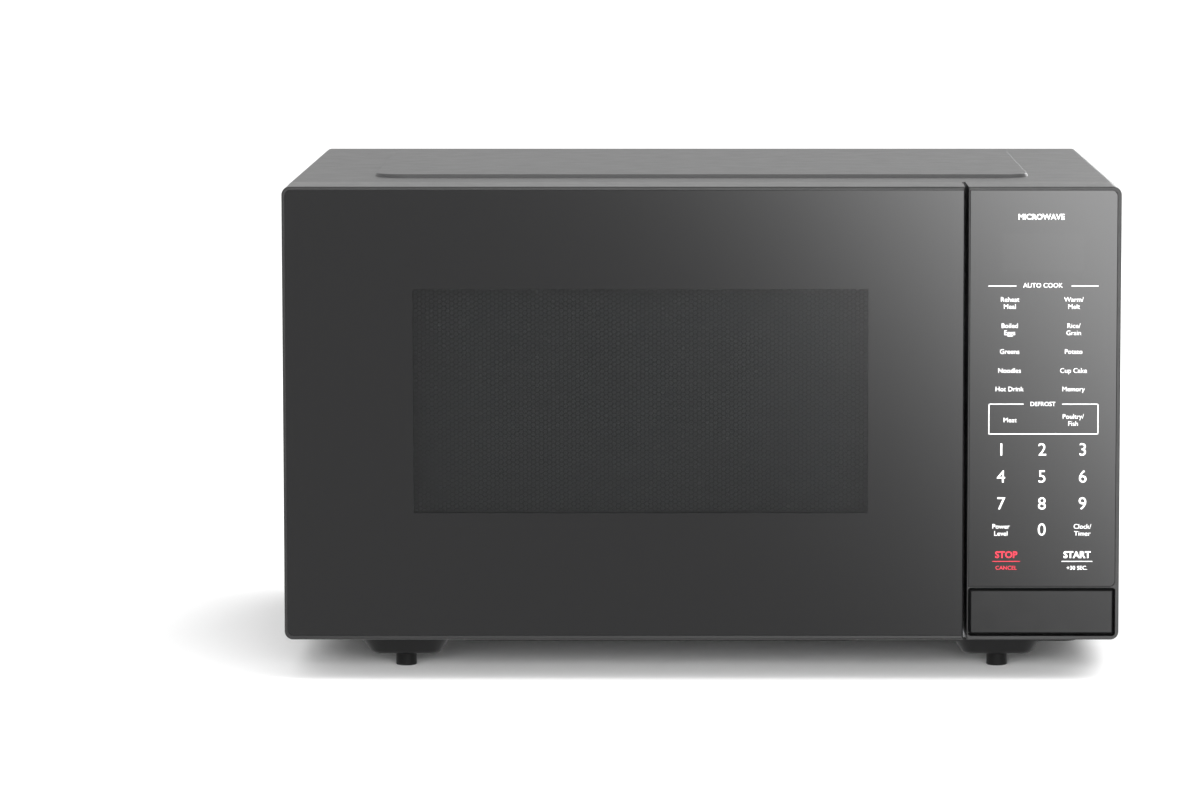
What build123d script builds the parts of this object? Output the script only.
from build123d import *
import math
import os

# Countertop inverter microwave oven, in millimetres.
# x runs to the right, y to the back, z up; z = 0 is the table and x = y = 0 the middle of the footprint.

# Overall
width = 554.0
body_depth = 382.0  # cabinet, from its front edge to the outer face of the back
front_depth = 53.0  # door and panel, from the glass to the cabinet's front edge
rear_gap = 8.0  # wall spacers
front_height = 301.4
stand_height = 27.3  # table to the bottom edge of door and panel
base_level = 20.2  # table to the underside of the base plate
crown_drop = 0.3  # cabinet top under the top edge of the door

# Sheet, walls and fits
sheet = 1.0
wall = 2.5
glass_thickness = 4.0
fit = 0.15  # between nested still parts
running_fit = 0.05  # radial, on pins and shafts
air = 0.4  # between parts that move against each other

# Control panel and door
panel_width = 100.9
door_gap = 2.4  # between door and panel
door_clearance = 2.0  # between door and cabinet
lip_setback = 0.4  # plastic lip behind the glass face
outer_radius = 5.5
wrap_radius = 4.5

# Raised field on the cabinet top
plateau_rise = 2.3
plateau_half_width = 222.0
plateau_front = 46.0  # from the cabinet's front edge
plateau_back = 55.0  # from the cabinet's back
plateau_radius = 20.0

# Cooking cavity
cavity_side_margin = 17.0
bay_width = 130.0  # cavity to the right side of the cabinet
cavity_rear_margin = 6.0
cavity_floor_rise = 29.3  # over the base plate's underside
cavity_head_room = 15.2  # cavity top to the top edge of the door

depth = front_depth + body_depth + rear_gap
front_y = -depth / 2
seam_y = front_y + front_depth
back_y = seam_y + body_depth
left_x = -width / 2
right_x = width / 2
front_bottom = stand_height
front_top = stand_height + front_height
crown = front_top - crown_drop

panel_x = (right_x - panel_width, right_x)
door_x = (left_x, panel_x[0] - door_gap)
door_back = seam_y - door_clearance
lip_y = front_y + lip_setback
glass_y = (front_y, front_y + glass_thickness)
front_wall_y = (glass_y[1], glass_y[1] + wall)

cavity_x = (left_x + cavity_side_margin, right_x - bay_width - sheet)
cavity_y = (seam_y, back_y - cavity_rear_margin)
cavity_z = (base_level + cavity_floor_rise, front_top - cavity_head_room)
plate_y = (seam_y, seam_y + sheet)  # the cabinet's front plate
bay_x = cavity_x[1] + sheet  # the component bay starts at the cavity's outer wall


def front_plane(y):
    """Upright plane at depth y, from which extrusions run towards the front."""
    return Plane.XZ.offset(-y)


def side_plane(x):
    """Upright plane facing right at x."""
    return Plane.YZ.offset(x)


def level(z):
    """Horizontal plane at height z."""
    return Plane.XY.offset(z)


def slab(x, y, z, mode=Mode.ADD):
    """A block between pairs of limits, added to or cut from the piece being built."""
    with Locations((sum(x) / 2, sum(y) / 2, sum(z) / 2)):
        Box(x[1] - x[0], y[1] - y[0], z[1] - z[0], mode=mode)


def rod(start, direction, radius, length, mode=Mode.ADD):
    """A cylinder from its start along a direction."""
    with Locations(Plane(origin=start, z_dir=direction)):
        Cylinder(radius, length, align=(Align.CENTER, Align.CENTER, Align.MIN), mode=mode)


def grow(limits, amount):
    """Limits moved outwards by an amount at both ends."""
    return (limits[0] - amount, limits[1] + amount)


def middle(limits):
    """Point halfway between two limits."""
    return (limits[0] + limits[1]) / 2


def span(limits):
    """Distance between two limits."""
    return limits[1] - limits[0]


def after(start, length):
    """Limits that begin at a start and have a length."""
    return (start, start + length)


toward_back = (0, 1, 0)
toward_right = (1, 0, 0)
up = (0, 0, 1)
down = (0, 0, -1)

os.makedirs("parts", exist_ok=True)

# Section: cabinet shell

# Top and sides in one folded sheet, with a raised field on top and vents in the sides.
vent_slot = (22.0, 2.6)
vent_pitch = 6.5
vent_rows = 9
vent_from_back = 92.0
vent_height = 130.0

with BuildPart() as cabinet_wrap:
    slab((left_x, right_x), (seam_y, back_y), (base_level, crown))
    fillet(cabinet_wrap.edges().filter_by(Axis.Y).group_by(Axis.Z)[-1], wrap_radius)
    offset(
        amount=-sheet,
        openings=cabinet_wrap.faces().filter_by(Axis.Y) + cabinet_wrap.faces().sort_by(Axis.Z)[:1],
    )
    plateau_length = body_depth - plateau_front - plateau_back
    plateau_middle = seam_y + plateau_front + plateau_length / 2
    with BuildSketch(level(crown)):
        with Locations((0, plateau_middle)):
            RectangleRounded(2 * plateau_half_width, plateau_length, plateau_radius)
    extrude(amount=plateau_rise, taper=20)
    fillet(cabinet_wrap.faces().sort_by(Axis.Z)[-1].edges(), sheet)
    with BuildSketch(level(crown - sheet)):
        with Locations((0, plateau_middle)):
            RectangleRounded(
                2 * (plateau_half_width - sheet), plateau_length - 2 * sheet, plateau_radius - sheet
            )
    extrude(amount=plateau_rise, taper=20, mode=Mode.SUBTRACT)
    for side in (left_x, right_x - sheet):
        with BuildSketch(side_plane(side)):
            with Locations((back_y - vent_from_back, base_level + vent_height)):
                with GridLocations(vent_slot[0] + vent_pitch, vent_pitch, 3, vent_rows):
                    SlotOverall(vent_slot[0], vent_slot[1])
        extrude(amount=sheet, mode=Mode.SUBTRACT)
cabinet_wrap.part.label = "cabinet_wrap"
export_step(cabinet_wrap.part, "parts/cabinet_wrap.step")

inner_x = (left_x + sheet + fit, right_x - sheet - fit)
inner_top = crown - sheet - fit
base_top = base_level + sheet
flange = 11.0
bay_middle = (bay_x + inner_x[1]) / 2

# Base plate: a cup for each foot and two shallow pressings that stiffen it.
cup_size = (62.0, 44.0)
cup_front = 1.8  # from the cabinet's front edge to the front of a cup
cup_taper = 35.0
cup_depth = 12.15
cup_radius = 16.0
cup_foot_radius = 5.0
cup_rim = 4.0  # flat sheet kept round a cup
foot_x = 200.0
foot_front = 19.0  # from the cabinet's front edge
foot_back = 40.0  # from the cabinet's back
foot_radius = 7.0
stem_radius = 3.0
pressing_depth = 2.5
pressing_taper = 50.0
pressing_radius = 14.0
pressing_front = 3.0
pressing_end = 60.0  # from the cabinet's back
pressings = ((left_x + 112.0, right_x - 168.0), (right_x - 117.0, right_x - 20.0))
foot_spots = [(x, y) for x in (-foot_x, foot_x) for y in (seam_y + foot_front, back_y - foot_back)]
cup_rows = (seam_y + cup_front + cup_size[1] / 2, back_y - foot_back - 2.0)
cup_spots = [(x, y) for x in (-foot_x, foot_x) for y in cup_rows]


def dish(spots, size, radius, drop, taper):
    """Dish-shaped pressings in the base plate, about one sheet thick all over."""
    lean = math.radians(taper)
    inset = sheet * (1 / math.cos(lean) - math.tan(lean))
    for height, smaller, mode in ((base_level, 0, Mode.ADD), (base_top, inset, Mode.SUBTRACT)):
        with BuildSketch(Plane(origin=(0, 0, height), x_dir=toward_right, z_dir=down)) as mouth:
            with Locations(*[(x, -y) for x, y in spots]):
                RectangleRounded(size[0] - 2 * smaller, size[1] - 2 * smaller, radius - smaller)
        extrude(mouth.sketch, amount=drop, taper=taper, mode=mode)


with BuildPart() as base_plate:
    slab(inner_x, (seam_y, back_y), (base_level, base_top))
    for limits in pressings:
        size = (span(limits), body_depth - pressing_front - pressing_end)
        centre = (middle(limits), seam_y + pressing_front + size[1] / 2)
        dish([centre], size, pressing_radius, pressing_depth, pressing_taper)
    for x, y in cup_spots:
        edge = (cup_size[0] / 2 + cup_rim, cup_size[1] / 2)
        slab((x - edge[0], x + edge[0]), (y - edge[1], y + edge[1] + cup_rim), (base_level, base_top))
    dish(cup_spots, cup_size, cup_radius, cup_depth, cup_taper)
    fillet(base_plate.faces().filter_by(Axis.Z).group_by(Axis.Z)[0].edges(), cup_foot_radius)
    with BuildSketch(level(0)):
        with Locations(*foot_spots):
            Circle(stem_radius + fit)
    extrude(amount=base_top, mode=Mode.SUBTRACT)
base_plate.part.label = "base_plate"
export_step(base_plate.part, "parts/base_plate.step")

# Feet: rubber stubs, each with a stem snapped through the floor of its cup.
cup_floor = base_level - cup_depth
with BuildPart() as feet:
    for x, y in foot_spots:
        rod((x, y, 0), up, foot_radius, cup_floor)
        rod((x, y, cup_floor), up, stem_radius, sheet)
        rod((x, y, cup_floor + sheet), up, stem_radius + 1.5, 2.0)
    fillet(feet.edges().filter_by(GeomType.CIRCLE).group_by(Axis.Z)[0], 0.8)
feet.part.label = "feet"
export_step(feet.part, "parts/feet.step")

# Section: hinges and latch places
pivot_x = left_x + 8.0
pivot_y = door_back - 11.5
pin_radius = 2.5
leg_half_width = 4.5
leg_thickness = 2.0
leg_from_edge = 15.0  # door's top or bottom edge to the near face of a hinge leg
hinge_bite = 12.0  # length of pin inside the door's boss
tab_thickness = 1.6
leg_z = (
    after(front_top - leg_from_edge - leg_thickness, leg_thickness),
    after(front_bottom + leg_from_edge, leg_thickness),
)
leg_x = (pivot_x - leg_half_width, pivot_x + leg_half_width)

hook_x = after(door_x[1] - 11.7, 6.0)
hook_heights = (front_bottom + 43.0, front_top - 86.0)  # undersides of the two hook arms
hook_arm = 8.0
hook_barb = 2.0
hook_reach = 28.0  # behind the cabinet's front edge
hook_lift = 2.5
hook_slot_x = (hook_x[0] - 0.9, hook_x[1] + 2.8)  # the right side is wider, for the swing of the hooks

button_travel = 5.0
post_nose = 1.2  # bevel on the post's upper edge, where the tilting lever would dig in
post_x = after(panel_x[0] + 7.0, 5.0)
post_z = after(front_bottom + 7.0, 5.0)

# Front plate: flanged sheet with the cavity's mouth, hook slots and the button post's hole.
wiring_hole = 14.0
with BuildPart() as front_plate:
    slab(inner_x, after(seam_y, flange), (base_top, inner_top))
    fillet(front_plate.edges().filter_by(Axis.Y).group_by(Axis.Z)[-1], wrap_radius - sheet)
    offset(amount=-sheet, openings=front_plate.faces().sort_by(Axis.Y)[-1])
    slab(cavity_x, plate_y, cavity_z, Mode.SUBTRACT)
    for z in hook_heights:
        slab(hook_slot_x, plate_y, (z - 0.5, z + hook_arm + hook_lift + 1.0), Mode.SUBTRACT)
    for z in leg_z:
        slab(grow(leg_x, fit), plate_y, grow(z, fit), Mode.SUBTRACT)
    slab(grow(post_x, air), plate_y, grow(post_z, air), Mode.SUBTRACT)
    rod(((panel_x[0] + panel_x[1]) / 2, seam_y, front_top - 40), toward_back, wiring_hole, sheet, Mode.SUBTRACT)
front_plate.part.label = "front_plate"
export_step(front_plate.part, "parts/front_plate.step")

# Back plate: a shallow tray with louvres behind the fan, an exhaust grille and the cord's hole.
fan_x = bay_middle
fan_z = base_level + 80.0
fan_radius = 48.0
cord_spot = (inner_x[1] - 20.0, base_level + 186.0)
cord_radius = 7.0
bush_radius = 10.0
screw_radius = 1.6
screw_spots = [
    (x, z)
    for x in (inner_x[0] + 16, 0, inner_x[1] - 16)
    for z in (base_top + 14, inner_top - 14)
]
back_inner = back_y - sheet
with BuildPart() as back_plate:
    slab(inner_x, (back_y - flange, back_y), (base_top, inner_top))
    fillet(back_plate.edges().filter_by(Axis.Y).group_by(Axis.Z)[-1], wrap_radius - sheet)
    offset(amount=-sheet, openings=back_plate.faces().sort_by(Axis.Y)[0])
    with BuildSketch(front_plane(back_y)):
        with Locations((fan_x, fan_z)):
            with GridLocations(34, 8, 3, 11):
                SlotOverall(30, 4)
        with Locations((cavity_x[0] + 60, cavity_z[1] - 30)):
            with GridLocations(34, 8, 3, 4):
                SlotOverall(30, 4)
        with Locations(cord_spot):
            Circle(bush_radius)
        with Locations(*screw_spots):
            Circle(screw_radius + fit)
    extrude(amount=sheet, mode=Mode.SUBTRACT)
back_plate.part.label = "back_plate"
export_step(back_plate.part, "parts/back_plate.step")

# Screws that hold the back plate.
head_radius = 4.0
head_height = 2.4
screw_length = 4.0
with BuildPart() as cabinet_screws:
    for x, z in screw_spots:
        rod((x, back_y, z), toward_back, head_radius, head_height)
        rod((x, back_y - screw_length, z), toward_back, screw_radius, screw_length)
    fillet(cabinet_screws.edges().filter_by(GeomType.CIRCLE).group_by(Axis.Y)[-1], 1.0)
    with BuildSketch(front_plane(back_y + head_height)):
        with Locations(*screw_spots):
            Rectangle(4.4, 1.0)
            Rectangle(1.0, 4.4)
    extrude(amount=1.2, mode=Mode.SUBTRACT)
cabinet_screws.part.label = "cabinet_screws"
export_step(cabinet_screws.part, "parts/cabinet_screws.step")

# Bush where the supply cord enters.
with BuildPart() as cord_bush:
    rod((cord_spot[0], back_inner - 2.5, cord_spot[1]), toward_back, bush_radius + 2.5, 2.5)
    rod((cord_spot[0], back_inner, cord_spot[1]), toward_back, bush_radius - fit, sheet)
    rod((cord_spot[0], back_y, cord_spot[1]), toward_back, bush_radius + 2.5, 4.0)
    fillet(cord_bush.edges().filter_by(GeomType.CIRCLE).group_by(Axis.Y)[-1], 1.5)
    rod((cord_spot[0], back_inner - 3, cord_spot[1]), toward_back, cord_radius, 10, Mode.SUBTRACT)
cord_bush.part.label = "cord_bush"
export_step(cord_bush.part, "parts/cord_bush.step")

# Spacers that keep the back clear of a wall.
spacer_spots = [(x, z) for x in (left_x + 150, right_x - 190) for z in (base_level + 45, crown - 50)]
with BuildPart() as rear_spacers:
    for x, z in spacer_spots:
        rod((x, back_y, z), toward_back, 9.0, rear_gap)
    fillet(rear_spacers.edges().filter_by(GeomType.CIRCLE).group_by(Axis.Y)[-1], 2.0)
rear_spacers.part.label = "rear_spacers"
export_step(rear_spacers.part, "parts/rear_spacers.step")

# Section: cooking cavity

turn_centre = (middle(cavity_x), middle(cavity_y))
plate_radius = min(span(cavity_x), span(cavity_y)) / 2 - 15.5
pan_radius = plate_radius + 4.0
pan_depth = 3.0
pan_top = cavity_z[0] - pan_depth
coupler_hole = 8.0
port_y = (turn_centre[1] + 22.0, turn_centre[1] + 82.0)
port_z = (cavity_z[1] - 134.0, cavity_z[1] - 74.0)
lamp_y = after(cavity_y[0] + 100.0, 36.0)
lamp_z = (cavity_z[1] - 52.0, cavity_z[1] - 16.0)
inlet_y = after(cavity_y[0] + 66.0, 50.0)
inlet_z = after(cavity_z[1] - 119.0, 44.0)
cavity_outer_x = grow(cavity_x, sheet)
cavity_back = (cavity_y[1], cavity_y[1] + sheet)

with BuildPart() as cavity_walls:
    slab((cavity_outer_x[0], cavity_x[0]), (plate_y[1], cavity_back[1]), cavity_z)
    slab((cavity_x[1], cavity_outer_x[1]), (plate_y[1], cavity_back[1]), cavity_z)
    slab(cavity_x, cavity_back, cavity_z)
    slab((cavity_x[1], cavity_outer_x[1]), port_y, port_z, Mode.SUBTRACT)
    with BuildSketch(side_plane(cavity_x[1])):
        with Locations((middle(lamp_y), middle(lamp_z))):
            with GridLocations(5.5, 5.5, 4, 4):
                Circle(1.9)
        with Locations((middle(inlet_y), middle(inlet_z))):
            with GridLocations(6.5, 6.5, 7, 6):
                Circle(2.2)
    extrude(amount=sheet, mode=Mode.SUBTRACT)
cavity_walls.part.label = "cavity_walls"
export_step(cavity_walls.part, "parts/cavity_walls.step")

duct_x = after(cavity_x[0] + 12.0, 84.0)
duct_y = (cavity_y[1] - 62.0, back_inner)
top_z = (cavity_z[1], cavity_z[1] + sheet)
duct_z = (top_z[1], top_z[1] + 9.5)
with BuildPart() as cavity_top:
    slab(cavity_outer_x, (plate_y[1], cavity_back[1]), top_z)
    with BuildSketch(level(top_z[0])):
        with Locations((middle(duct_x), middle(duct_y) - 4)):
            with GridLocations(6.5, 6.5, 9, 5):
                Circle(2.2)
    extrude(amount=sheet, mode=Mode.SUBTRACT)
cavity_top.part.label = "cavity_top"
export_step(cavity_top.part, "parts/cavity_top.step")

with BuildPart() as cavity_floor:
    slab(cavity_outer_x, (plate_y[1], cavity_back[1]), (cavity_z[0] - sheet, cavity_z[0]))
    rod((*turn_centre, pan_top - sheet), up, pan_radius + sheet, pan_depth + sheet)
    rod((*turn_centre, pan_top), up, pan_radius, pan_depth + sheet, Mode.SUBTRACT)
    rod((*turn_centre, pan_top - sheet), up, coupler_hole, sheet, Mode.SUBTRACT)
cavity_floor.part.label = "cavity_floor"
export_step(cavity_floor.part, "parts/cavity_floor.step")

# Waveguide on the cavity's right wall, with its mica window inside.
guide_depth = 32.0
guide_y = (port_y[0] - 14.0, port_y[1] + 14.0)
guide_z = (port_z[0] - 8.0, port_z[1] + 24.0)
guide_x = after(bay_x, guide_depth)
tube_y = middle(guide_y)
tube_z = port_z[1] - 4.0
with BuildPart() as waveguide:
    slab(guide_x, guide_y, guide_z)
    offset(amount=-sheet, openings=waveguide.faces().sort_by(Axis.X)[0])
    rod((guide_x[1] - sheet, tube_y, tube_z), toward_right, 12.0, sheet, Mode.SUBTRACT)
waveguide.part.label = "waveguide"
export_step(waveguide.part, "parts/waveguide.step")

mica = 0.5
with BuildPart() as waveguide_cover:
    slab((cavity_x[1] - mica, cavity_x[1]), grow(port_y, 8), grow(port_z, 8))
    fillet(waveguide_cover.edges().filter_by(Axis.X), 4)
waveguide_cover.part.label = "waveguide_cover"
export_step(waveguide_cover.part, "parts/waveguide_cover.step")

# Magnetron: yoke with filter box, and the tube with its fins and antenna.
yoke_x = after(guide_x[1], 62.0)
yoke_y = (tube_y - 42.0, tube_y + 42.0)
yoke_z = (tube_z - 40.0, tube_z + 40.0)
yoke_wall = 3.0
filter_x = after(yoke_x[1], 22.0)
with BuildPart() as magnetron_yoke:
    slab(yoke_x, yoke_y, yoke_z)
    slab(grow(yoke_x, -yoke_wall), yoke_y, grow(yoke_z, -yoke_wall), Mode.SUBTRACT)
    rod((yoke_x[0], tube_y, tube_z), toward_right, 10.0, yoke_wall, Mode.SUBTRACT)
    slab(filter_x, grow((tube_y, tube_y), 25), grow((tube_z, tube_z), 26))
magnetron_yoke.part.label = "magnetron_yoke"
export_step(magnetron_yoke.part, "parts/magnetron_yoke.step")

fin_count = 7
fin_start = yoke_x[0] + 12.0
fin_pitch = (span(yoke_x) - 24.0) / (fin_count - 1)
with BuildPart() as magnetron_tube:
    rod((yoke_x[0] + yoke_wall, tube_y, tube_z), toward_right, 19.0, span(yoke_x) - 2 * yoke_wall)
    rod((cavity_x[1] + 8.0, tube_y, tube_z), toward_right, 8.0, yoke_x[0] + yoke_wall - cavity_x[1] - 8.0)
    for k in range(fin_count):
        x = fin_start + k * fin_pitch
        slab((x - 0.6, x + 0.6), grow(yoke_y, -yoke_wall), grow(yoke_z, -yoke_wall))
magnetron_tube.part.label = "magnetron_tube"
export_step(magnetron_tube.part, "parts/magnetron_tube.step")

# Lamp and its housing beside the perforated spot in the cavity's wall.
lamp_x = after(bay_x, 46.0)
lamp_wall = 1.5
with BuildPart() as lamp_housing:
    slab(lamp_x, lamp_y, lamp_z)
    offset(amount=-lamp_wall, openings=lamp_housing.faces().sort_by(Axis.X)[0])
    rod((lamp_x[1] - lamp_wall, middle(lamp_y), middle(lamp_z)), toward_right, 7.0, lamp_wall, Mode.SUBTRACT)
lamp_housing.part.label = "lamp_housing"
export_step(lamp_housing.part, "parts/lamp_housing.step")

bulb_radius = 9.5
cap_radius = 7.0 - fit
with BuildPart() as cavity_lamp:
    rod((lamp_x[1] - 33.0, middle(lamp_y), middle(lamp_z)), toward_right, bulb_radius, 20.0)
    fillet(cavity_lamp.edges().filter_by(GeomType.CIRCLE), 4.0)
    rod((lamp_x[1] - 14.0, middle(lamp_y), middle(lamp_z)), toward_right, cap_radius, 20.0)
cavity_lamp.part.label = "cavity_lamp"
export_step(cavity_lamp.part, "parts/cavity_lamp.step")

# Duct over the cavity that carries steam past the humidity sensor to the back.
with BuildPart() as exhaust_duct:
    slab(duct_x, duct_y, duct_z)
    offset(amount=-sheet, openings=exhaust_duct.faces().sort_by(Axis.Z)[0])
    slab(grow(duct_x, -8), (duct_y[1] - sheet, duct_y[1]), grow(duct_z, -2), Mode.SUBTRACT)
exhaust_duct.part.label = "exhaust_duct"
export_step(exhaust_duct.part, "parts/exhaust_duct.step")

with BuildPart() as humidity_sensor:
    rod((duct_x[1] - 22.0, middle(duct_y), duct_z[1] - sheet), down, 6.0, 6.0)
    fillet(humidity_sensor.edges().filter_by(GeomType.CIRCLE).group_by(Axis.Z)[0], 1.0)
humidity_sensor.part.label = "humidity_sensor"
export_step(humidity_sensor.part, "parts/humidity_sensor.step")

# Thermal cutouts on the cavity's top and on the magnetron.
cutout_spots = ((cavity_x[1] - 60.0, turn_centre[1], top_z[1]), (middle(yoke_x), tube_y, yoke_z[1]))
with BuildPart() as thermal_cutouts:
    for spot in cutout_spots:
        rod(spot, up, 8.0, 5.0)
        with Locations((spot[0], spot[1], spot[2] + 0.5)):
            Box(24, 8, 1.0)
thermal_cutouts.part.label = "thermal_cutouts"
export_step(thermal_cutouts.part, "parts/thermal_cutouts.step")

# Duct that leads the magnetron's air through the wall into the cavity.
with BuildPart() as air_guide:
    slab(after(bay_x, 30.0), (inlet_y[0] - 10, guide_y[0] - 4), grow(inlet_z, 8))
    offset(
        amount=-1.5,
        openings=air_guide.faces().sort_by(Axis.X)[:1] + air_guide.faces().sort_by(Axis.Y)[-1:],
    )
air_guide.part.label = "air_guide"
export_step(air_guide.part, "parts/air_guide.step")

# Section: turntable

motor_height = 15.0
motor_radius = 24.5
motor_top = pan_top - sheet
shaft_radius = 3.0
stem_outer = 6.6
roller_radius = 8.0
roller_gap = 0.3
roller_track = plate_radius - 42.0
roller_width = 7.0
roller_pin = 2.0
track_z = pan_top + roller_gap + roller_radius
glass_bottom = pan_top + 2 * (roller_gap + roller_radius)
ring_half_height = 2.2
ring_inner = 22.0
coupler_top = glass_bottom - air

with BuildPart() as turntable_motor:
    rod((*turn_centre, motor_top), down, motor_radius, motor_height)
    with BuildSketch(level(motor_top)):
        with Locations(turn_centre):
            SlotOverall(2 * motor_radius + 26, 14)
    extrude(amount=-sheet)
    rod((*turn_centre, motor_top), down, shaft_radius + running_fit, motor_height - 3, Mode.SUBTRACT)
turntable_motor.part.label = "turntable_motor"
export_step(turntable_motor.part, "parts/turntable_motor.step")

with BuildPart() as motor_shaft:
    rod((*turn_centre, motor_top - motor_height + 4), up, shaft_radius, motor_height + 6)
motor_shaft.part.label = "motor_shaft"
export_step(motor_shaft.part, "parts/motor_shaft.step")

# Coupler: a stem through the floor and three vanes that drive the glass plate.
vane = (30.0, 7.0)
with BuildPart() as drive_coupler:
    rod((*turn_centre, motor_top + 0.6), up, stem_outer, coupler_top - motor_top - 0.6)
    with BuildSketch(level(coupler_top)):
        with Locations(turn_centre):
            with PolarLocations(vane[0] / 4, 3):
                SlotOverall(vane[0] / 2 + vane[1], vane[1])
            Circle(stem_outer + 1.5)
    extrude(amount=-7.0)
    rod((*turn_centre, motor_top), up, shaft_radius, 10.6, Mode.SUBTRACT)
drive_coupler.part.label = "drive_coupler"
export_step(drive_coupler.part, "parts/drive_coupler.step")

# Glass plate with a raised rim and three lugs under it that sit between the coupler's vanes.
plate_thickness = 5.0
plate_rim = 11.0
rim_width = 6.0
with BuildPart() as glass_plate:
    rod((*turn_centre, glass_bottom), up, plate_radius - 8, plate_rim)
    with BuildSketch(level(glass_bottom + 3)):
        with Locations(turn_centre):
            Circle(plate_radius)
    extrude(amount=plate_rim - 3)
    chamfer(glass_plate.edges().filter_by(GeomType.CIRCLE).group_by(Axis.Z)[1].sort_by(SortBy.RADIUS)[-1], 3.5)
    with BuildSketch(level(glass_bottom + plate_thickness)):
        with Locations(turn_centre):
            Circle(plate_radius - rim_width - 5)
    extrude(amount=plate_rim, taper=-25, mode=Mode.SUBTRACT)
    fillet(glass_plate.edges().filter_by(GeomType.CIRCLE).group_by(Axis.Z)[-1], 0.8)
    with BuildSketch(level(glass_bottom)):
        with Locations(turn_centre):
            with PolarLocations(14.5, 3, start_angle=60):
                Circle(2.6)
    extrude(amount=-4.0)
glass_plate.part.label = "glass_plate"
export_step(glass_plate.part, "parts/glass_plate.step")

# Roller ring: hub ring, outer ring and three arms that end in roller pins.
with BuildPart() as roller_ring:
    with BuildSketch(level(track_z)):
        with Locations(turn_centre):
            Circle(roller_track - 8)
            Circle(roller_track - 15, mode=Mode.SUBTRACT)
            Circle(ring_inner + 7)
            with PolarLocations((roller_track - 15 + ring_inner) / 2, 3):
                Rectangle(roller_track - 15 - ring_inner + 8, 9)
            Circle(ring_inner, mode=Mode.SUBTRACT)
    extrude(amount=ring_half_height, both=True)
    for k in range(3):
        turn = math.radians(120 * k)
        outward = (math.cos(turn), math.sin(turn), 0)
        start = (
            turn_centre[0] + (roller_track - 9) * outward[0],
            turn_centre[1] + (roller_track - 9) * outward[1],
            track_z,
        )
        rod(start, outward, roller_pin, roller_width + 9.0)
roller_ring.part.label = "roller_ring"
export_step(roller_ring.part, "parts/roller_ring.step")


def roller_start(turn):
    """Place of a roller's inner face, with its direction, for a roller at an angle round the ring."""
    outward = (math.cos(turn), math.sin(turn), 0)
    reach = roller_track - roller_width / 2 + 1.0
    return (turn_centre[0] + reach * outward[0], turn_centre[1] + reach * outward[1], track_z), outward


for k, name in enumerate(("roller_1", "roller_2", "roller_3")):
    place, outward = roller_start(math.radians(120 * k))
    with BuildPart() as roller:
        rod(place, outward, roller_radius, roller_width)
        chamfer(roller.edges().filter_by(GeomType.CIRCLE), 0.6)
        rod(place, outward, roller_pin + running_fit, roller_width, Mode.SUBTRACT)
    roller.part.label = name
    export_step(roller.part, f"parts/{name}.step")

# Section: power and cooling, in the bay beside the cavity

board_z = base_top + 13.0
board_thickness = 1.6
board_x = (bay_x + 5.0, inner_x[1] - 5.0)
board_y = after(seam_y + 60.0, 150.0)
board_top = board_z + board_thickness
post_radius = 3.0

# Inverter board on four posts, with its two high-voltage capacitors.
with BuildPart() as inverter_board:
    slab(board_x, board_y, (board_z, board_top))
    with Locations((middle(board_x), middle(board_y), (base_top + board_z) / 2)):
        with GridLocations(span(board_x) - 12, span(board_y) - 12, 2, 2):
            Cylinder(post_radius, board_z - base_top)
    rod((board_x[0] + 20, board_y[0] + 20, board_top), up, 8.0, 26.0)
    rod((board_x[0] + 42, board_y[0] + 20, board_top), up, 8.0, 26.0)
    slab(after(board_x[0] + 62, 38), after(board_y[0] + 10, 18), (board_top, board_top + 22))
inverter_board.part.label = "inverter_board"
export_step(inverter_board.part, "parts/inverter_board.step")

# Inverter transformer: ferrite frame round a wound bobbin.
coil_x = after(board_x[0] + 8, 50.0)
coil_y = after(board_y[0] + 44, 52.0)
with BuildPart() as inverter_transformer:
    slab(coil_x, coil_y, after(board_top, 42))
    slab(grow(coil_x, 1), grow(coil_y, -9), after(board_top + 8, 26), Mode.SUBTRACT)
    rod((coil_x[0], middle(coil_y), board_top + 21), toward_right, 11.0, span(coil_x))
    rod((coil_x[0] + 10, middle(coil_y), board_top + 21), toward_right, 15.5, span(coil_x) - 20)
inverter_transformer.part.label = "inverter_transformer"
export_step(inverter_transformer.part, "parts/inverter_transformer.step")

sink_x = (coil_x[1] + 8.0, board_x[1] - 6.0)
sink_y = (board_y[0] + 44.0, board_y[1] - 8.0)
sink_fins = 8
with BuildPart() as heat_sink:
    slab(sink_x, sink_y, after(board_top, 5))
    for k in range(sink_fins):
        fin_x = after(sink_x[0] + k * (span(sink_x) - 1.6) / (sink_fins - 1), 1.6)
        slab(fin_x, sink_y, after(board_top + 5, 34))
heat_sink.part.label = "heat_sink"
export_step(heat_sink.part, "parts/heat_sink.step")

# Fan: shroud, motor on its legs, shaft and five-bladed rotor.
shroud_back = back_y - 14.0
shroud_y = (shroud_back - 24.0, shroud_back)
shroud_x = (bay_x + 3.0, inner_x[1] - 3.0)
shroud_z = (base_top, fan_z + 64.0)
tip_gap = 3.0
with BuildPart() as fan_shroud:
    slab(shroud_x, after(shroud_y[0], 2.5), shroud_z)
    rod((fan_x, shroud_y[0], fan_z), toward_back, fan_radius + tip_gap + 2.5, span(shroud_y))
    rod((fan_x, shroud_y[0], fan_z), toward_back, fan_radius + tip_gap, span(shroud_y), Mode.SUBTRACT)
fan_shroud.part.label = "fan_shroud"
export_step(fan_shroud.part, "parts/fan_shroud.step")

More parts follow.
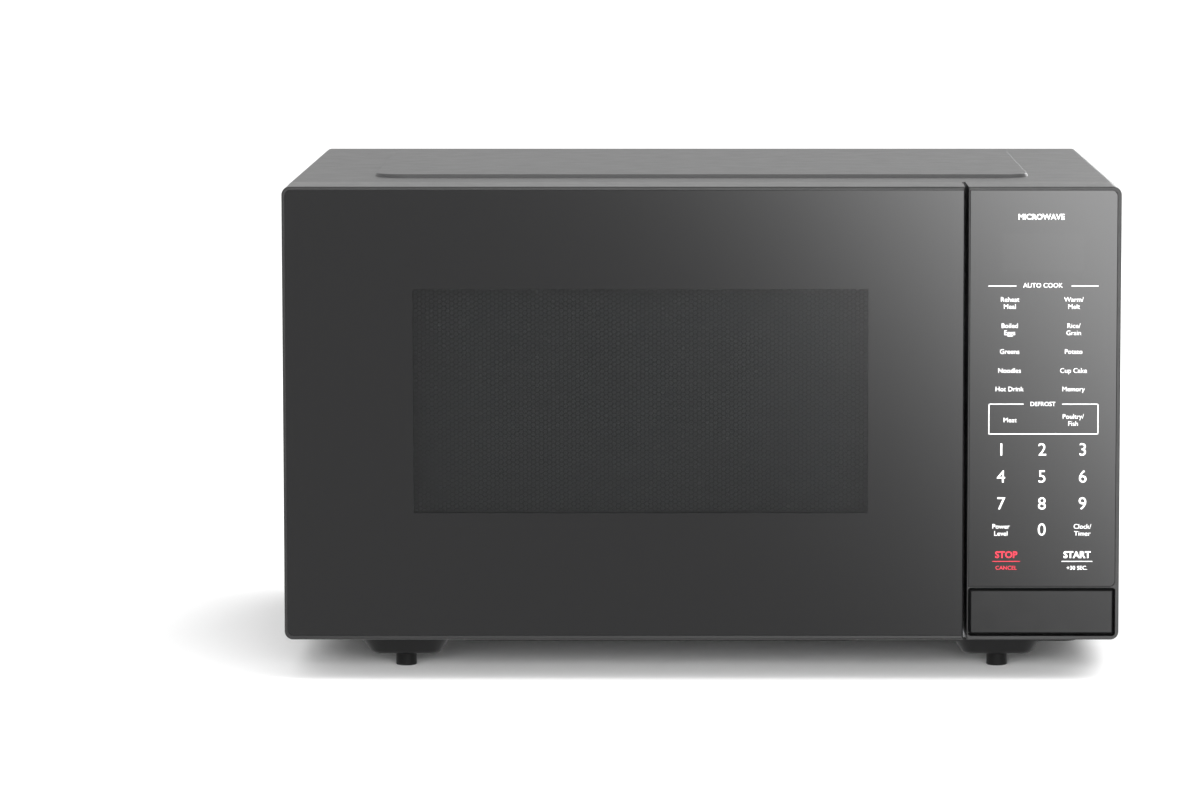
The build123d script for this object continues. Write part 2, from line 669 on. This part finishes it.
fan_shaft_radius = 2.0
fan_motor_y = (shroud_y[0] - 36.0, shroud_y[0] - 10.0)
with BuildPart() as fan_motor:
    slab((fan_x - 24, fan_x + 24), grow(fan_motor_y, -5), (fan_z - 22, fan_z + 22))
    rod((fan_x, fan_motor_y[0], fan_z), toward_back, 14.0, span(fan_motor_y))
    for z in (fan_z - 19, fan_z + 19):
        slab((fan_x - 58, fan_x + 58), (fan_motor_y[1] - 8, fan_motor_y[1] - 5), (z - 3, z + 3))
        for x in (fan_x - 58, fan_x + 55):
            slab((x, x + 3), (fan_motor_y[1] - 8, shroud_y[0]), (z - 3, z + 3))
    rod((fan_x, fan_motor_y[0] + 4, fan_z), toward_back, fan_shaft_radius + running_fit, 40, Mode.SUBTRACT)
fan_motor.part.label = "fan_motor"
export_step(fan_motor.part, "parts/fan_motor.step")

hub_y = after(shroud_y[0] + 2.0, 18.0)
with BuildPart() as fan_shaft:
    rod((fan_x, fan_motor_y[0] + 5, fan_z), toward_back, fan_shaft_radius, hub_y[1] - 6 - fan_motor_y[0] - 5)
fan_shaft.part.label = "fan_shaft"
export_step(fan_shaft.part, "parts/fan_shaft.step")

blade_count = 5
blade_pitch = 32.0
blade_chord = 24.0
blade_thickness = 1.6
with BuildPart() as fan_blade:
    rod((fan_x, hub_y[0], fan_z), toward_back, 13.0, span(hub_y))
    with Locations(Plane(origin=(fan_x, middle(hub_y), fan_z), z_dir=toward_back)):
        with PolarLocations(0, blade_count):
            with Locations(Location(((fan_radius + 11) / 2, 0, 0), (blade_pitch, 0, 0))):
                Box(fan_radius - 12, blade_chord, blade_thickness)
    rod((fan_x, hub_y[0], fan_z), toward_back, fan_shaft_radius + running_fit, span(hub_y) - 6, Mode.SUBTRACT)
fan_blade.part.label = "fan_blade"
export_step(fan_blade.part, "parts/fan_blade.step")

# Noise filter board behind the cord's entry, on posts from the back plate.
filter_y = (back_inner - 16.0, back_inner - 16.0 + board_thickness)
filter_board_x = (bay_x + 12.0, inner_x[1] - 14.0)
filter_board_z = after(crown - 102.2, 76.0)
with BuildPart() as noise_filter_board:
    slab(filter_board_x, filter_y, filter_board_z)
    for x in grow(filter_board_x, -6):
        for z in grow(filter_board_z, -6):
            rod((x, filter_y[1], z), toward_back, post_radius, back_inner - filter_y[1])
    rod((filter_board_x[0] + 26, filter_y[0], middle(filter_board_z) + 12), (0, -1, 0), 13.0, 20.0)
    rod((filter_board_x[0] + 26, filter_y[0], middle(filter_board_z) + 12), (0, -1, 0), 6.0, 20.0, Mode.SUBTRACT)
    slab(after(filter_board_x[0] + 48, 26), (filter_y[0] - 14, filter_y[0]), after(filter_board_z[0] + 40, 18))
noise_filter_board.part.label = "noise_filter_board"
export_step(noise_filter_board.part, "parts/noise_filter_board.step")

fuse_z = filter_board_z[0] + 16.0
with BuildPart() as main_fuse:
    rod((filter_board_x[0] + 18, filter_y[0] - 4, fuse_z), toward_right, 2.6, 20.0)
    rod((filter_board_x[0] + 18, filter_y[0] - 4, fuse_z), toward_right, 3.2, 5.0)
    rod((filter_board_x[0] + 33, filter_y[0] - 4, fuse_z), toward_right, 3.2, 5.0)
    for x in (filter_board_x[0] + 19, filter_board_x[0] + 34):
        slab(after(x, 3), (filter_y[0] - 5, filter_y[0]), (fuse_z - 3, fuse_z + 3))
main_fuse.part.label = "main_fuse"
export_step(main_fuse.part, "parts/main_fuse.step")

# Section: door

window_x = (door_x[0] + 86.2, door_x[1] - 63.6)
window_z = (front_bottom + 84.75, front_top - 67.7)
frame_window_x = grow(window_x, 5)
frame_window_z = grow(window_z, 5)
glass_margins = (2.0, 0.5, 2.7, 2.2)  # left, right, bottom, top
glass_x = (door_x[0] + glass_margins[0], door_x[1] - glass_margins[1])
glass_z = (front_bottom + glass_margins[2], front_top - glass_margins[3])
glass_radius = 4.0
rear_corner = 8.0
hollow_x = grow(door_x, -wall)
hollow_z = (front_bottom + wall, front_top - wall)
rear_frame_x = pivot_x + leg_half_width + 2.5  # the frame's rear flange ends here
door_rear_y = (door_back - wall, door_back)
boss_radius = pin_radius + 2.2
boss_length = hinge_bite + 2.0
boss_z = (
    (leg_z[0][0] - air - boss_length, leg_z[0][0] - air),
    (leg_z[1][1] + air, leg_z[1][1] + air + boss_length),
)
leg_sweep = leg_half_width + 4.5


def front_outline(limits_x, limits_z, radius, ends):
    """Upright rectangle with the corners at its left (0) or right (-1) end rounded."""
    with BuildSketch() as outline:
        with Locations((middle(limits_x), middle(limits_z))):
            Rectangle(span(limits_x), span(limits_z))
        fillet(outline.vertices().group_by(Axis.X)[ends], radius)
    return outline.sketch


with BuildPart() as door_frame:
    with BuildSketch(front_plane(door_back)):
        add(front_outline(door_x, (front_bottom, front_top), outer_radius, 0))
    extrude(amount=door_back - lip_y)
    with BuildSketch(level(front_bottom)) as plan:
        with Locations((middle(door_x), (lip_y + door_back) / 2)):
            Rectangle(span(door_x), door_back - lip_y)
        fillet(plan.vertices().sort_by(Axis.Y)[-2:].sort_by(Axis.X)[0], rear_corner)
    extrude(amount=front_height, mode=Mode.INTERSECT)
    fillet(door_frame.faces().sort_by(Axis.Y)[0].edges(), 1.2)
    with BuildSketch(level(hollow_z[0])) as plan:
        with Locations((middle(hollow_x), (front_wall_y[1] + door_rear_y[0]) / 2)):
            Rectangle(span(hollow_x), door_rear_y[0] - front_wall_y[1])
        fillet(plan.vertices().sort_by(Axis.Y)[-2:].sort_by(Axis.X)[0], rear_corner - wall)
    extrude(amount=span(hollow_z), mode=Mode.SUBTRACT)
    slab((rear_frame_x, hollow_x[1]), (door_rear_y[0] - 1, door_back), hollow_z, Mode.SUBTRACT)
    with BuildSketch(front_plane(glass_y[1])):
        add(front_outline(grow(glass_x, fit / 2), grow(glass_z, fit / 2), glass_radius, 0))
    extrude(amount=glass_thickness, mode=Mode.SUBTRACT)
    slab(frame_window_x, front_wall_y, frame_window_z, Mode.SUBTRACT)
    for limits in boss_z:
        rod((pivot_x, pivot_y, limits[0]), up, boss_radius, span(limits))
        slab((hollow_x[0] - 0.5, pivot_x), (pivot_y - boss_radius, pivot_y + boss_radius), limits)
        rod((pivot_x, pivot_y, limits[0]), up, pin_radius + running_fit, span(limits), Mode.SUBTRACT)
    for limits in leg_z:
        slab((door_x[0], rear_frame_x), (pivot_y - leg_sweep, door_back), grow(limits, air), Mode.SUBTRACT)
door_frame.part.label = "door_frame"
export_step(door_frame.part, "parts/door_frame.step")

with BuildPart() as door_glass:
    with BuildSketch(front_plane(glass_y[1])):
        add(front_outline(grow(glass_x, -fit / 2), grow(glass_z, -fit / 2), glass_radius, 0))
    extrude(amount=glass_thickness)
    chamfer(door_glass.faces().sort_by(Axis.Y)[0].edges(), 0.3)
door_glass.part.label = "door_glass"
export_step(door_glass.part, "parts/door_glass.step")

# Screen: the perforated sheet just behind the frame's window.
screen = 0.6
screen_y = after(front_wall_y[1], screen)
tunnel_x = grow(frame_window_x, 2)
tunnel_z = grow(frame_window_z, 2)
with BuildPart() as window_screen:
    slab(tunnel_x, screen_y, tunnel_z)
window_screen.part.label = "window_screen"
export_step(window_screen.part, "parts/window_screen.step")

# Choke panel: a tunnel round the window that opens into a folded channel facing the cavity's rim.
cover_y = (door_back - 2.2, door_back)
choke_face_y = (cover_y[0] - sheet, cover_y[0])
choke_x = (rear_frame_x + 0.5, door_x[1] - 14.2)
choke_z = (front_bottom + 6.4, front_top - 6.0)
choke_depth = 18.0
with BuildPart() as choke_panel:
    slab(choke_x, choke_face_y, choke_z)
    slab(choke_x, (choke_face_y[0] - choke_depth, choke_face_y[0]), choke_z)
    inside_y = (choke_face_y[0] - choke_depth, choke_face_y[0])
    slab(grow(choke_x, -sheet), inside_y, grow(choke_z, -sheet), Mode.SUBTRACT)
    slab(choke_x, after(choke_face_y[0] - choke_depth, sheet), choke_z)
    slab(grow(choke_x, -8), after(choke_face_y[0] - choke_depth, sheet), grow(choke_z, -8), Mode.SUBTRACT)
    slab(tunnel_x, (screen_y[1], choke_face_y[1]), tunnel_z)
    slab(grow(tunnel_x, -sheet), (screen_y[1], choke_face_y[1]), grow(tunnel_z, -sheet), Mode.SUBTRACT)
choke_panel.part.label = "choke_panel"
export_step(choke_panel.part, "parts/choke_panel.step")

film = 0.5
film_x = grow(frame_window_x, 8)
film_z = grow(frame_window_z, 8)
cover_x = (rear_frame_x + fit, hollow_x[1] - fit)
cover_z = grow(hollow_z, -fit)
with BuildPart() as choke_cover:
    slab(cover_x, cover_y, cover_z)
    slab(frame_window_x, cover_y, frame_window_z, Mode.SUBTRACT)
    slab(grow(film_x, fit), after(cover_y[0], film), grow(film_z, fit), Mode.SUBTRACT)
    for z in hook_heights:
        limits = (z - hook_barb - 1.0, z + hook_arm + hook_lift + 1.0)
        slab(grow(hook_x, 0.6), cover_y, limits, Mode.SUBTRACT)
choke_cover.part.label = "choke_cover"
export_step(choke_cover.part, "parts/choke_cover.step")

with BuildPart() as inner_window:
    slab(film_x, after(cover_y[0], film), film_z)
inner_window.part.label = "inner_window"
export_step(inner_window.part, "parts/inner_window.step")

# Hinges: a tab behind the front plate, a leg through it into the door, and a riveted pin.
for name, limits, pin_way in (
    ("upper_hinge_bracket", leg_z[0], -1),
    ("lower_hinge_bracket", leg_z[1], 1),
):
    with BuildPart() as bracket:
        slab(leg_x, (pivot_y, plate_y[1] + tab_thickness), limits)
        rod((pivot_x, pivot_y, limits[0]), up, leg_half_width, span(limits))
        tab = (limits[0] - 26, limits[1]) if pin_way < 0 else (limits[0], limits[1] + 26)
        slab(leg_x, after(plate_y[1], tab_thickness), tab)
        rod((pivot_x, pivot_y, limits[0]), up, pin_radius, span(limits), Mode.SUBTRACT)
    bracket.part.label = name
    export_step(bracket.part, f"parts/{name}.step")

with BuildPart() as hinge_pins:
    rod((pivot_x, pivot_y, leg_z[0][0] - hinge_bite), up, pin_radius, hinge_bite + leg_thickness)
    rod((pivot_x, pivot_y, leg_z[0][1]), up, pin_radius + 1.2, 1.2)
    rod((pivot_x, pivot_y, leg_z[1][0]), up, pin_radius, hinge_bite + leg_thickness)
    rod((pivot_x, pivot_y, leg_z[1][0] - 1.2), up, pin_radius + 1.2, 1.2)
hinge_pins.part.label = "hinge_pins"
export_step(hinge_pins.part, "parts/hinge_pins.step")

# Latch: one bar in the door with two barbed hooks that reach through the front plate.
bar_y = (door_back - 20.0, door_back - 8.0)
bar_z = (hook_heights[0] - 8.0, hook_heights[1] + hook_arm + 6.0)
hook_tip = seam_y + hook_reach
barb_start = seam_y + sheet + 1.6
hook_lead = 6.0  # length of the slope that lifts the hook as the door is pushed shut
with BuildPart() as latch_hook:
    slab(hook_x, bar_y, bar_z)
    for z in hook_heights:
        slab(hook_x, (bar_y[0], hook_tip), after(z, hook_arm))
        with BuildSketch(side_plane(hook_x[0])):
            with BuildLine():
                Polyline(
                    (barb_start, z + 2.0),
                    (barb_start, z - hook_barb),
                    (hook_tip - hook_lead, z - hook_barb),
                    (hook_tip, z + 1.0),
                    (hook_tip, z + 2.0),
                    close=True,
                )
            make_face()
        extrude(amount=span(hook_x))
latch_hook.part.label = "latch_hook"
export_step(latch_hook.part, "parts/latch_hook.step")

# Spring over the latch bar that pulls the hooks down again.
hook_spring_turns = 6
spring_wire = 0.5
spring_z = (bar_z[1] + 0.7, bar_z[1] + 22.0)
spring_spot = (middle(hook_x), middle(bar_y))
with BuildPart() as hook_spring:
    with BuildLine():
        coil = Helix(
            span(spring_z) / hook_spring_turns,
            span(spring_z),
            3.0,
            center=(*spring_spot, spring_z[0]),
        )
    with BuildSketch(Plane(origin=coil @ 0, z_dir=coil % 0)):
        Circle(spring_wire)
    sweep(is_frenet=True)
hook_spring.part.label = "hook_spring"
export_step(hook_spring.part, "parts/hook_spring.step")

# Section: control panel

key_front = front_y + 0.3
key_lip = 6.0
key_radius = 2.2
key_bevel = 1.6
key_margins = (1.5, 3.1, 3.4, 33.9)  # left, right, bottom of the button, and its top over the panel's bottom
key_x = (panel_x[0] + key_margins[0], panel_x[1] - key_margins[1])
key_z = (front_bottom + key_margins[2], front_bottom + key_margins[3])
key_gap = 1.0
key_recess_y = key_front + key_lip + button_travel + 1.0
key_body_x = (key_x[0] + 4.5, key_x[1] - 4.5)
key_body_z = grow(key_z, -3)
pane_x = (panel_x[0] + 1.0, panel_x[1] - 2.5)
pane_z = (key_z[1] + key_gap + 0.6, front_top - glass_margins[3])
touch_x = grow(pane_x, -9)
touch_z = (pane_z[0] + 8, pane_z[1] - 9)
board_post = 4.0  # from the touch opening's edge to the middle of a post
control_x = grow(touch_x, board_post + 2.5)
control_z = (touch_z[0] + 52, touch_z[1])
display_x = after(panel_x[0] + 22.4, 53.8)
display_z = (front_top - 55.8, front_top - 31.0)
panel_hollow_x = grow(panel_x, -wall)
web_z = pane_z[0] + wall

with BuildPart() as panel_frame:
    with BuildSketch(front_plane(seam_y)):
        add(front_outline(panel_x, (front_bottom, front_top), outer_radius, -1))
    extrude(amount=seam_y - lip_y)
    fillet(panel_frame.faces().sort_by(Axis.Y)[0].edges(), 0.6)
    slab(panel_hollow_x, (key_recess_y + wall, seam_y), hollow_z, Mode.SUBTRACT)
    slab(panel_hollow_x, (front_wall_y[1], seam_y), (web_z, hollow_z[1]), Mode.SUBTRACT)
    with BuildSketch(front_plane(glass_y[1])):
        add(front_outline(grow(pane_x, fit / 2), grow(pane_z, fit / 2), glass_radius, -1))
    extrude(amount=glass_thickness, mode=Mode.SUBTRACT)
    slab(touch_x, front_wall_y, touch_z, Mode.SUBTRACT)
    with BuildSketch(front_plane(key_recess_y)):
        with Locations((middle(key_x), middle(key_z))):
            RectangleRounded(span(key_x) + 1.6, span(key_z) + 2 * key_gap, 2.2)
    extrude(amount=key_recess_y - lip_y, mode=Mode.SUBTRACT)
    slab(grow(key_body_x, 0.8), after(key_recess_y, wall), grow(key_body_z, 0.8), Mode.SUBTRACT)
    for x in grow(touch_x, board_post):
        for z in grow(control_z, -6):
            rod((x, front_wall_y[1], z), toward_back, 2.5, 14.0)
panel_frame.part.label = "panel_frame"
export_step(panel_frame.part, "parts/panel_frame.step")

with BuildPart() as panel_glass:
    with BuildSketch(front_plane(glass_y[1])):
        add(front_outline(grow(pane_x, -fit / 2), grow(pane_z, -fit / 2), glass_radius, -1))
    extrude(amount=glass_thickness)
    chamfer(panel_glass.faces().sort_by(Axis.Y)[0].edges(), 0.3)
panel_glass.part.label = "panel_glass"
export_step(panel_glass.part, "parts/panel_glass.step")

# Touch board against the glass, with an opening for the display.
with BuildPart() as touch_board:
    slab(grow(touch_x, -fit), after(glass_y[1], 1.6), grow(touch_z, -fit))
    slab(grow(display_x, 1), after(glass_y[1], 1.6), grow(display_z, 1), Mode.SUBTRACT)
touch_board.part.label = "touch_board"
export_step(touch_board.part, "parts/touch_board.step")

with BuildPart() as display_module:
    slab(display_x, after(glass_y[1] + 0.2, 8.0), display_z)
display_module.part.label = "display_module"
export_step(display_module.part, "parts/display_module.step")

# Control board on the frame's posts: relays, a buzzer and a connector stand on its back.
control_y = after(front_wall_y[1] + 14.0, board_thickness)
with BuildPart() as control_board:
    slab(control_x, control_y, control_z)
    for k in range(3):
        slab(after(control_x[0] + 8 + 20 * k, 15), after(control_y[1], 13), after(control_z[0] + 12, 19))
    rod((control_x[0] + 20, control_y[1], control_z[0] + 56), toward_back, 7.0, 8.0)
    slab(after(control_x[0] + 40, 24), after(control_y[1], 9), after(control_z[0] + 50, 8))
control_board.part.label = "control_board"
export_step(control_board.part, "parts/control_board.step")

# Release button: a bevelled bar, hollow behind, with the post that pushes the release lever.
lever_x = after(hook_x[0] + 0.5, 5.0)
lever_pivot = (seam_y + 9.0, front_bottom + 29.5)
lever_arm_y = seam_y + 9.6
with BuildPart() as release_button:
    with BuildSketch(front_plane(key_front + key_lip)):
        with Locations((middle(key_x), middle(key_z))):
            RectangleRounded(span(key_x), span(key_z), key_radius)
    extrude(amount=key_lip)
    chamfer(release_button.faces().sort_by(Axis.Y)[0].edges(), key_bevel)
    slab(key_body_x, after(key_front + key_lip, 16), key_body_z)
    slab(grow(key_body_x, -2), after(key_front + 2.5, key_lip + 16), grow(key_body_z, -2), Mode.SUBTRACT)
    slab(post_x, (key_front + 2.0, lever_arm_y - air), post_z)
    chamfer(release_button.edges().filter_by(Axis.X).group_by(Axis.Y)[-1].sort_by(Axis.Z)[-1], post_nose)
release_button.part.label = "release_button"
export_step(release_button.part, "parts/release_button.step")

# Spring between the button's hollow and the front plate.
button_spring_x = middle(key_x) + 18.0
button_spring_y = (key_front + 2.5 + spring_wire + fit, seam_y - spring_wire - fit)
button_spring_turns = 9
with BuildPart() as button_spring:
    with BuildLine():
        coil = Helix(
            span(button_spring_y) / button_spring_turns,
            span(button_spring_y),
            5.0,
            center=(button_spring_x, button_spring_y[0], middle(key_z)),
            direction=toward_back,
        )
    with BuildSketch(Plane(origin=coil @ 0, z_dir=coil % 0)):
        Circle(spring_wire)
    sweep(is_frenet=True)
button_spring.part.label = "button_spring"
export_step(button_spring.part, "parts/button_spring.step")

# Interlock bracket: a web behind the hooks' right side, with ribs that carry three switches.
web_x = after(hook_slot_x[1] + 0.7, 2.0)
web_limits_z = (front_bottom + 14.0, hook_heights[1] + 34.0)
switch_size = (6.0, 20.0, 12.0)
switch_y = seam_y + 30.0
switch_spots = (hook_heights[0] + 22.0, hook_heights[0] + 44.0, hook_heights[1] - 14.0)
lever_shaft = 3.0
with BuildPart() as interlock_bracket:
    slab(web_x, (plate_y[1], seam_y + 50.0), web_limits_z)
    slab((web_x[0], web_x[1] + 9.0), after(plate_y[1], 2.0), (web_limits_z[0] + 60, web_limits_z[1]))
    for z in switch_spots:
        slab((web_x[0] - switch_size[0], web_x[0]), after(switch_y, switch_size[1]), (z - 1.5, z))
    rod((web_x[0] - 1.5, *lever_pivot), toward_right, lever_shaft + 2.5, span(web_x) + 3.0)
    rod((web_x[0] - 1.5, *lever_pivot), toward_right, lever_shaft + running_fit, span(web_x) + 3.0, Mode.SUBTRACT)
interlock_bracket.part.label = "interlock_bracket"
export_step(interlock_bracket.part, "parts/interlock_bracket.step")

with BuildPart() as microswitches:
    for z in switch_spots:
        slab((web_x[0] - switch_size[0], web_x[0]), after(switch_y, switch_size[1]), after(z, switch_size[2]))
        slab((web_x[0] - 4.5, web_x[0] - 1.5), after(switch_y - 1.2, 1.2), after(z + 4, 2.5))
microswitches.part.label = "microswitches"
export_step(microswitches.part, "parts/microswitches.step")

# Release lever: one arm in front of the button's post, one finger under the lower hook.
finger_y = (lever_pivot[0] + 9.8, lever_pivot[0] + 12.8)
finger_top = hook_heights[0] - hook_barb - air
with BuildPart() as release_lever:
    rod((lever_x[0], *lever_pivot), toward_right, lever_shaft, post_x[1] + 4 - lever_x[0])
    slab(after(post_x[0] - 1, 7), after(lever_arm_y, 3.5), (post_z[0], lever_pivot[1]))
    slab(lever_x, (lever_pivot[0] - 3.5, finger_y[1]), (lever_pivot[1] - 3.0, lever_pivot[1] + 3.0))
    slab(lever_x, finger_y, (lever_pivot[1] - 3.0, finger_top))
release_lever.part.label = "release_lever"
export_step(release_lever.part, "parts/release_lever.step")
